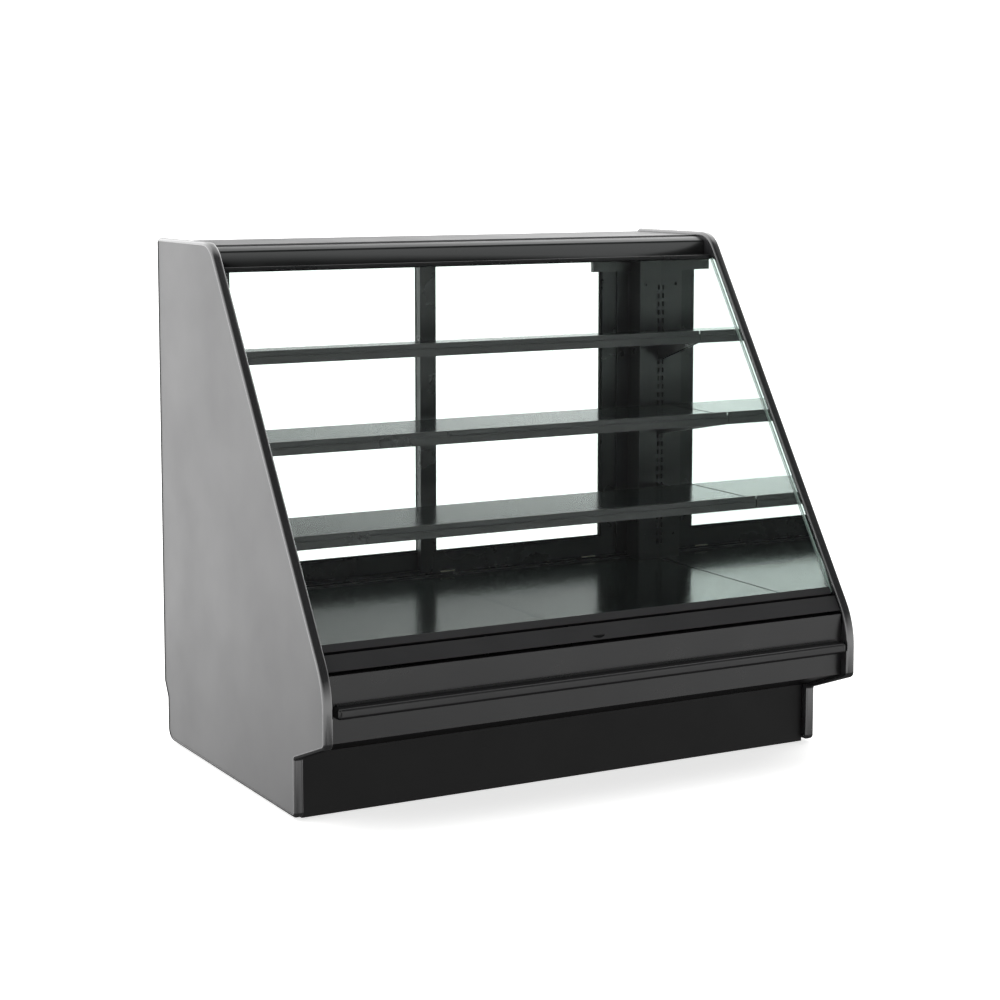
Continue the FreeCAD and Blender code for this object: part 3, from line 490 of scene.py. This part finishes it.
@dataclass
class CarriedParts:
    """Finishes of the frame's own parts."""

    finishes: dict[Finishes, tuple[str, ...]] = field(default_factory=lambda: {
        Finishes.LAMINATE: ("end_panel_left", "end_panel_right"),
        Finishes.MIRROR: ("end_mirror_left", "end_mirror_right"),
        Finishes.STEEL: (
            "deck_beams", "cabinet_floor", "front_fascia",
            "deck_front_lip", "rear_panel", "rear_sill", "corner_post_left",
            "corner_post_right", "door_jamb_left", "door_jamb_right", "header_cover",
            "shelf_brackets_top", "shelf_brackets_middle", "shelf_brackets_bottom",
            "service_plate", "price_rail_top", "price_rail_middle",
            "price_rail_bottom"),
        Finishes.TRAY: ("shelf_top", "shelf_middle", "shelf_bottom", "deck_pan_left",
                        "deck_pan_right"),
        Finishes.BASE: ("base_beams",),
        Finishes.ANODISED: ("bumper_channel", "glass_top_rail", "door_bottom_track",
                            "door_top_track", "door_left_frame", "door_right_frame"),
        Finishes.GLASS: ("front_glass", "door_left_glass", "door_right_glass"),
        Finishes.ALUMINIUM: ("light_housing", "light_clips"),
        Finishes.ABS: ("door_left_pull", "door_right_pull", "power_inlet", "switch_rocker"),
        Finishes.NYLON: ("door_left_glides", "door_right_glides"),
        Finishes.PANEL: ("lower_front_panel", "glass_bottom_rail"),
        Finishes.KICK: ("kick_plate",),
        Finishes.ROOF: ("canopy_roof",),
        Finishes.BLACKENED: ("glass_hinge_leaf",),
        Finishes.ZINC: ("glass_hinge_pins",),
    })

    def dress(self) -> None:
        """Give each carried part its finish."""
        for finish, nodes in self.finishes.items():
            for node in nodes:
                PAINT.dress(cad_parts[node], finish)
            LOG.info("%s on %d parts", finish.name, len(nodes))


@dataclass
class SmoothShells:
    """Mouldings and extrusions with long curves, as one smooth skin each."""

    shells: tuple[tuple[str, str, Finishes], ...] = (
        ("end_trim_left", "edge_trim", Finishes.TRIM),
        ("end_trim_right", "edge_trim", Finishes.TRIM),
        ("canopy_nose", "dark_rail", Finishes.CANOPY),
        ("bumper_rail", "bumper_vinyl", Finishes.VINYL),
        ("bumper_end_caps", "bumper_vinyl", Finishes.VINYL),
        ("light_lens", "diffuser", Finishes.OPAL),
    )
    merge_mm: float = 0.01

    def build(self) -> None:
        """Copy each shell, join its triangles and shade it smooth."""
        for node, slot, finish in self.shells:
            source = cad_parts[node]
            deselect()
            twin = bpy.data.objects.new(node + "_skin", source.data.copy())
            bpy.context.collection.objects.link(twin)
            twin.select_set(True)
            bpy.context.view_layer.objects.active = twin
            bpy.ops.object.mode_set(mode="EDIT")
            bpy.ops.mesh.select_all(action="SELECT")
            bpy.ops.mesh.remove_doubles(threshold=self.merge_mm * MM)
            bpy.ops.object.mode_set(mode="OBJECT")
            smooth(twin)
            deliver(twin, "case", finish, (node,))


@dataclass
class CrossHeadScrew:
    """Pan-head screw with a cross recess, modelled once and copied."""

    head_radius: float = 4.5 * MM
    head_height: float = 2.4 * MM
    recess_length: float = 4.8 * MM
    recess_width: float = 1.1 * MM
    recess_depth: float = 1.5 * MM
    crown_share: float = 0.7

    def pattern(self, facing: float) -> bpy.types.Object:
        """Model one screw at the origin, its head standing out along Y.

        Args:
            facing: -1 for a head that faces the customer, 1 for the rear.

        Returns:
            The screw.
        """
        deselect()
        bpy.ops.mesh.primitive_cylinder_add(
            vertices=32, radius=self.head_radius, depth=self.head_height,
            location=(0.0, facing * self.head_height / 2, 0.0),
            rotation=(math.radians(90.0), 0.0, 0.0))
        head = settle(bpy.context.active_object)
        outer = facing * self.head_height
        for vertex in head.data.vertices:
            vertex.select = abs(vertex.co.y - outer) < 1e-6
        bpy.ops.object.mode_set(mode="EDIT")
        bpy.ops.mesh.select_mode(type="VERT")
        bpy.ops.mesh.bevel(offset=self.head_height * self.crown_share, segments=4, affect="EDGES")
        bpy.ops.object.mode_set(mode="OBJECT")
        half = self.recess_length / 2
        thin = self.recess_width / 2
        ends = sorted((outer - facing * self.recess_depth, outer + facing * MM))
        for wide, tall in ((half, thin), (thin, half)):
            cutter = block("cutter", Vector((-wide, ends[0], -tall)),
                           Vector((wide, ends[1], tall)))
            apply_modifier(head, "BOOLEAN", operation="DIFFERENCE", object=cutter,
                           solver="EXACT")
            bpy.data.objects.remove(cutter, do_unlink=True)
        smooth(head, 30.0)
        return head

    def set_of(self, name: str, facing: float, places: list[Vector]) -> bpy.types.Object:
        """Copy the screw to each place and join the copies.

        Args:
            name: the piece's name.
            facing: -1 towards the customer, 1 to the rear.
            places: where each head sits on its sheet.

        Returns:
            The joined piece.
        """
        pattern = self.pattern(facing)
        copies = [copy_at(pattern, place) for place in places]
        bpy.data.objects.remove(pattern, do_unlink=True)
        return join(name, copies)


@dataclass
class Screws:
    """Visible screws: on the corner posts, the rear panel and the service plate."""

    screw: CrossHeadScrew = field(default_factory=CrossHeadScrew)
    post_inset: float = 4.5 * MM
    middle_drop: float = 30.2 * MM
    rear_margin: float = 22.0 * MM
    rear_columns: int = 6
    plate_inset: float = 7.0 * MM

    def build(self) -> None:
        """Place and deliver each group."""
        low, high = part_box("post_screws")
        x = high.x - self.post_inset
        mid = [low.z + self.post_inset, high.z - self.post_inset]
        heights = (mid[1], (mid[0] + mid[1]) / 2 - self.middle_drop, mid[0])
        places = [Vector((side * x, high.y, z)) for side in (-1, 1) for z in heights]
        piece = self.screw.set_of("post_cross_screws", -1.0, places)
        deliver(piece, "case", Finishes.BLACKENED, ("post_screws",))

        low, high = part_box("rear_panel")
        span = high.x - low.x - 2 * self.rear_margin
        places = []
        for z in (low.z + 2 * self.rear_margin, high.z - self.rear_margin):
            for i in range(self.rear_columns):
                column = low.x + self.rear_margin + span * i / (self.rear_columns - 1)
                places.append(Vector((column, high.y, z)))
        piece = self.screw.set_of("rear_panel_screws", 1.0, places)
        deliver(piece, "case", Finishes.ZINC)

        low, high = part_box("service_plate")
        inset = self.plate_inset
        places = [Vector((px, high.y, pz)) for px in (low.x + inset, high.x - inset)
                  for pz in (low.z + inset, high.z - inset)]
        piece = self.screw.set_of("service_plate_screws", 1.0, places)
        deliver(piece, "case", Finishes.ZINC)


@dataclass
class GlazingGaskets:
    """Rubber gaskets that hold each door pane in its frame."""

    member: float = 49.0 * MM
    bottom_extra: float = 7.0 * MM
    width: float = 5.0 * MM
    depth: float = 4.0 * MM
    edge_radius: float = 1.4 * MM

    def ring(self, low: Vector, high: Vector, y: float, out: float) -> bpy.types.Object:
        """One gasket round a window.

        Args:
            low: window's lowest corner.
            high: window's highest corner.
            y: face of the pane.
            out: +1 or -1, the side the gasket stands on.

        Returns:
            The ring.
        """
        deselect()
        bpy.ops.mesh.primitive_plane_add(
            size=1.0, location=((low.x + high.x) / 2, y, (low.z + high.z) / 2),
            rotation=(math.radians(90.0), 0.0, 0.0))
        ring = bpy.context.active_object
        ring.scale = (high.x - low.x, high.z - low.z, 1.0)
        settle(ring)
        bpy.ops.object.mode_set(mode="EDIT")
        bpy.ops.mesh.select_all(action="SELECT")
        bpy.ops.mesh.inset(thickness=self.width, depth=0.0)
        bpy.ops.mesh.delete(type="FACE")
        bpy.ops.mesh.select_all(action="SELECT")
        bpy.ops.mesh.extrude_region_move(
            TRANSFORM_OT_translate={"value": (0.0, out * self.depth, 0.0)})
        bpy.ops.mesh.select_all(action="SELECT")
        bpy.ops.mesh.normals_make_consistent(inside=False)
        bpy.ops.object.mode_set(mode="OBJECT")
        apply_modifier(ring, "BEVEL", width=self.edge_radius, segments=3,
                       limit_method="ANGLE")
        smooth(ring, 40.0)
        return ring

    def build(self) -> None:
        """Gaskets on both faces of both doors."""
        for side in ("left", "right"):
            low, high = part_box(f"door_{side}_frame")
            pane_low, pane_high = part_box(f"door_{side}_glass")
            window_low = Vector((low.x + self.member, 0.0,
                                 low.z + self.member + self.bottom_extra))
            window_high = Vector((high.x - self.member, 0.0, high.z - self.member))
            rings = [self.ring(window_low, window_high, pane_low.y, -1.0),
                     self.ring(window_low, window_high, pane_high.y, 1.0)]
            piece = join(f"door_{side}_gaskets", rings)
            deliver(piece, f"rear_door_{side}", Finishes.GASKET)


@dataclass
class PaneEdges:
    """Polished edges of the front pane as opaque strips whose near-white colour is a painted
    highlight: the bright line beside each mirror.
    """

    thickness: float = 6.0 * MM
    strip: float = 0.6 * MM
    slope: float = math.radians(56.15)
    edge_break: float = 0.2 * MM

    def build(self) -> None:
        """Model one edge strip along the slope and set it at both ends."""
        low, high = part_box("front_glass")
        run = Vector((0.0, math.cos(self.slope), math.sin(self.slope)))
        normal = Vector((0.0, -math.sin(self.slope), math.cos(self.slope)))
        height = high.z - low.z - self.thickness * math.cos(self.slope)
        length = height / math.sin(self.slope)
        middle = Vector((0.0, (low.y + high.y) / 2, (low.z + high.z) / 2))
        strips = []
        for side, x in ((-1, low.x), (1, high.x)):
            strip = block("strip", Vector((0.0, -self.thickness / 2, -length / 2)),
                          Vector((self.strip, self.thickness / 2, length / 2)),
                          self.edge_break)
            shift = x if side > 0 else x - self.strip
            turn = Matrix(((1.0, 0.0, 0.0), (0.0, -normal.y, run.y), (0.0, -normal.z, run.z)))
            strip.data.transform(turn.to_4x4())
            strip.data.transform(Matrix.Translation(Vector((shift, middle.y, middle.z))))
            strips.append(strip)
        # The strips' near-white colour is a painted highlight, not the glass's own colour.
        piece = join("front_glass_edges_painted_highlight", strips)
        deliver(piece, "front_window", Finishes.PANE_EDGE)


@dataclass
class LightEnds:
    """Moulded end caps of the canopy light."""

    cap: float = 5.0 * MM
    edge_radius: float = 1.5 * MM

    def build(self) -> None:
        """One cap at each end of the light."""
        low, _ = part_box("light_lens")
        _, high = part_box("light_housing")
        caps = []
        for side in (-1, 1):
            x0, x1 = sorted((side * high.x, side * (high.x + self.cap)))
            caps.append(block("cap", Vector((x0, low.y, low.z)),
                              Vector((x1, high.y, high.z)), self.edge_radius))
        piece = join("light_end_caps", caps)
        smooth(piece, 40.0)
        deliver(piece, "case", Finishes.ABS)


@dataclass
class Studio:
    """Pale floor, soft surrounding light and the viewing camera.

    A span is a stretch of a direction's x, y or z, over which the light changes.
    """

    floor_size: float = 400.0
    floor_drop: float = 0.0006
    floor_glow: float = 0.75
    front_span: tuple[float, float] = (0.05, 0.45)
    front_light: tuple[float, float] = (1.7, 0.06)
    side_span: tuple[float, float] = (-0.35, 0.25)
    below_span: tuple[float, float] = (-0.36, -0.21)
    below_light: float = 0.05
    back_strength: float = 2.3
    middle_share: float = 0.55
    back_span: tuple[float, float] = (0.38, 0.54)
    left_span: tuple[float, float] = (0.0, 0.3)
    band_height: float = 0.19
    band_width: float = 0.12
    band_depth: float = 0.75
    camera_place: tuple[float, float, float] = (-2.9466, -5.3203, 1.6413)
    camera_turn_deg: float = 28.86
    camera_dip_deg: float = 6.5
    lens_mm: float = 81.26
    sensor_mm: float = 36.0
    view_depth: float = 200.0
    shift_up: float = -0.0941

    def floor(self) -> None:
        """Plain pale floor."""
        deselect()
        bpy.ops.mesh.primitive_plane_add(size=self.floor_size, location=(0.0, 0.0, -self.floor_drop))
        floor = bpy.context.active_object
        floor.name = "studio_floor"
        floor.visible_glossy = False
        floor.visible_diffuse = False
        material, tree = blank_material("studio_floor_paint")
        place = add_node(tree, "ShaderNodeTexCoord").outputs["Object"]
        cloud = add_node(tree, "ShaderNodeTexNoise", {"Scale": 0.8}, {"Vector": place})
        colour = add_node(tree, "ShaderNodeMix",
                          {"data_type": "RGBA", 6: linear("#f3f3f2"), 7: linear("#f7f7f7")},
                          {0: cloud.outputs["Fac"]})
        shader = add_node(tree, "ShaderNodeBsdfPrincipled",
                          {"Roughness": 0.9, "Emission Strength": self.floor_glow},
                          {"Base Color": colour.outputs[2], "Emission Color": colour.outputs[2]})
        finish_output(tree, shader.outputs["BSDF"])
        floor.data.materials.append(material)

    def surroundings(self) -> None:
        """White surroundings: bright behind the case, dark above its front and underfoot.

        Behind and to the right, a low dim band is what the deck and shelf tops reflect.
        """
        dimmest = self.middle_share * self.back_strength
        world = bpy.data.worlds.new("studio")
        bpy.context.scene.world = world
        world.use_nodes = True
        tree = world.node_tree
        tree.nodes.clear()
        look = add_node(tree, "ShaderNodeTexCoord").outputs["Generated"]
        axes = add_node(tree, "ShaderNodeSeparateXYZ", links={0: look})
        front = add_node(tree, "ShaderNodeMapRange",
                         {"From Min": self.front_span[0], "From Max": self.front_span[1],
                          "To Min": self.front_light[0], "To Max": self.front_light[1]},
                         {"Value": axes.outputs["Z"]})
        side = add_node(tree, "ShaderNodeMapRange",
                        {"From Min": self.side_span[0], "From Max": self.side_span[1]},
                        {"Value": axes.outputs["Y"]})
        below = add_node(tree, "ShaderNodeMapRange",
                         {"From Min": self.below_span[0], "From Max": self.below_span[1],
                          "To Min": self.below_light, "To Max": 1.0},
                         {"Value": axes.outputs["Z"]})
        back = add_node(tree, "ShaderNodeMapRange",
                        {"From Min": self.back_span[0], "From Max": self.back_span[1],
                         "To Min": dimmest, "To Max": self.back_strength},
                        {"Value": axes.outputs["X"]})
        left = add_node(tree, "ShaderNodeMapRange",
                        {"From Min": self.left_span[0], "From Max": self.left_span[1],
                         "To Min": self.back_strength, "To Max": dimmest},
                        {"Value": axes.outputs["X"]})
        behind = add_node(tree, "ShaderNodeMath", {"operation": "MAXIMUM"},
                          {0: back.outputs["Result"], 1: left.outputs["Result"]})
        off_band = add_node(tree, "ShaderNodeMath", {"operation": "SUBTRACT", 1: self.band_height},
                            {0: axes.outputs["Z"]})
        distance = add_node(tree, "ShaderNodeMath", {"operation": "ABSOLUTE"},
                            {0: off_band.outputs["Value"]})
        dimming = add_node(tree, "ShaderNodeMapRange",
                           {"From Min": 0.0, "From Max": self.band_width,
                            "To Min": self.band_depth, "To Max": 0.0},
                           {"Value": distance.outputs["Value"]})
        right = add_node(tree, "ShaderNodeMapRange",
                         {"From Min": self.left_span[0], "From Max": self.left_span[1]},
                         {"Value": axes.outputs["X"]})
        loss = add_node(tree, "ShaderNodeMath", {"operation": "MULTIPLY"},
                        {0: dimming.outputs["Result"], 1: right.outputs["Result"]})
        kept = add_node(tree, "ShaderNodeMath", {"operation": "SUBTRACT", 0: 1.0},
                        {1: loss.outputs["Value"]})
        rear = add_node(tree, "ShaderNodeMath", {"operation": "MULTIPLY"},
                        {0: behind.outputs["Value"], 1: kept.outputs["Value"]})
        around = add_node(tree, "ShaderNodeMix",
                          links={0: side.outputs["Result"], 2: front.outputs["Result"],
                                 3: rear.outputs["Value"]})
        strength = add_node(tree, "ShaderNodeMath", {"operation": "MULTIPLY"},
                            {0: around.outputs[0], 1: below.outputs["Result"]})
        light = add_node(tree, "ShaderNodeBackground", {"Color": (1.0, 1.0, 1.0, 1.0)},
                         {"Strength": strength.outputs["Value"]})
        add_node(tree, "ShaderNodeOutputWorld", links={"Surface": light.outputs["Background"]})

    def camera(self) -> None:
        """Camera to the customer's left of the case, a little above its top."""
        turn = math.radians(self.camera_turn_deg)
        dip = math.radians(self.camera_dip_deg)
        aim = Vector((math.sin(turn) * math.cos(dip), math.cos(turn) * math.cos(dip),
                      -math.sin(dip)))
        data = bpy.data.cameras.new("case_camera")
        data.lens = self.lens_mm
        data.sensor_width = self.sensor_mm
        data.shift_y = self.shift_up
        data.clip_end = self.view_depth
        camera = bpy.data.objects.new("case_camera", data)
        camera.location = self.camera_place
        camera.rotation_mode = "QUATERNION"
        camera.rotation_quaternion = aim.to_track_quat("-Z", "Y")
        bpy.context.collection.objects.link(camera)
        bpy.context.scene.camera = camera

    def build(self) -> None:
        """Set the whole stage."""
        self.floor()
        self.surroundings()
        self.camera()
        bpy.context.scene.view_settings.view_transform = "Standard"


def main() -> None:
    """Build the case's details in order and light them."""
    logging.basicConfig(level=logging.INFO, format="%(message)s")
    Studio().build()
    CarriedParts().dress()
    for detail in (SmoothShells(), Screws(), GlazingGaskets(), PaneEdges(), LightEnds()):
        detail.build()


if __name__ == "__main__":
    main()
